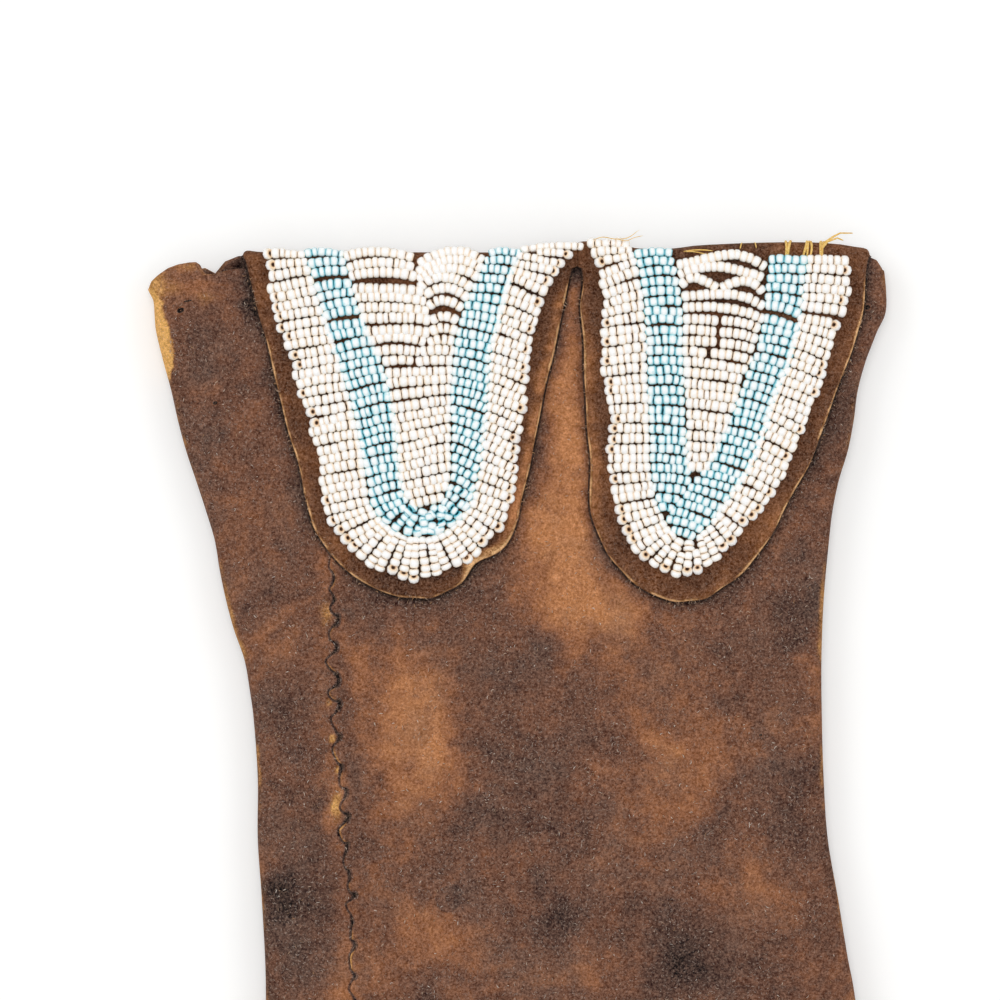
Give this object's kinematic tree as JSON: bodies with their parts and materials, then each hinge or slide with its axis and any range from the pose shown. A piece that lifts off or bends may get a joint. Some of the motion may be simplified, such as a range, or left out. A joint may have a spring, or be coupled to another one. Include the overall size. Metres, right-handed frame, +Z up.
{
  "type": "pipe bag",
  "caption": "Flat hide pipe bag with an open mouth, a wavy sewn front seam and a folded cuff whose round-toed flaps carry white and blue lane-stitched beadwork.",
  "frame": {"origin": "under the middle of the bag's footprint, on the surface it lies on", "axes": "+Y along the bag towards its mouth, +Z up out of the front wall, +X to the right"},
  "size_m": [0.166, 0.3646, 0.0152],
  "materials": {
    "bag_hide": "worn smoked suede",
    "cuff_hide": "worn smoked suede",
    "white_beads": "opaque, glossy",
    "blue_beads": "opaque, glossy",
    "sinew": "dry split fibre"
  },
  "bodies": {
    "root": {"bag_hide": "bag_hide", "cuff_hide": "cuff_hide", "left_border_beads": "white_beads", "left_blue_beads": "blue_beads", "left_centre_beads": "white_beads", "right_border_beads": "white_beads", "right_blue_beads": "blue_beads", "right_centre_beads": "white_beads", "seam_sinew": "sinew", "bottom_sinew": "sinew", "cuff_stitch_1": "sinew", "cuff_stitch_2": "sinew", "cuff_stitch_3": "sinew"}
  },
  "joints": []
}
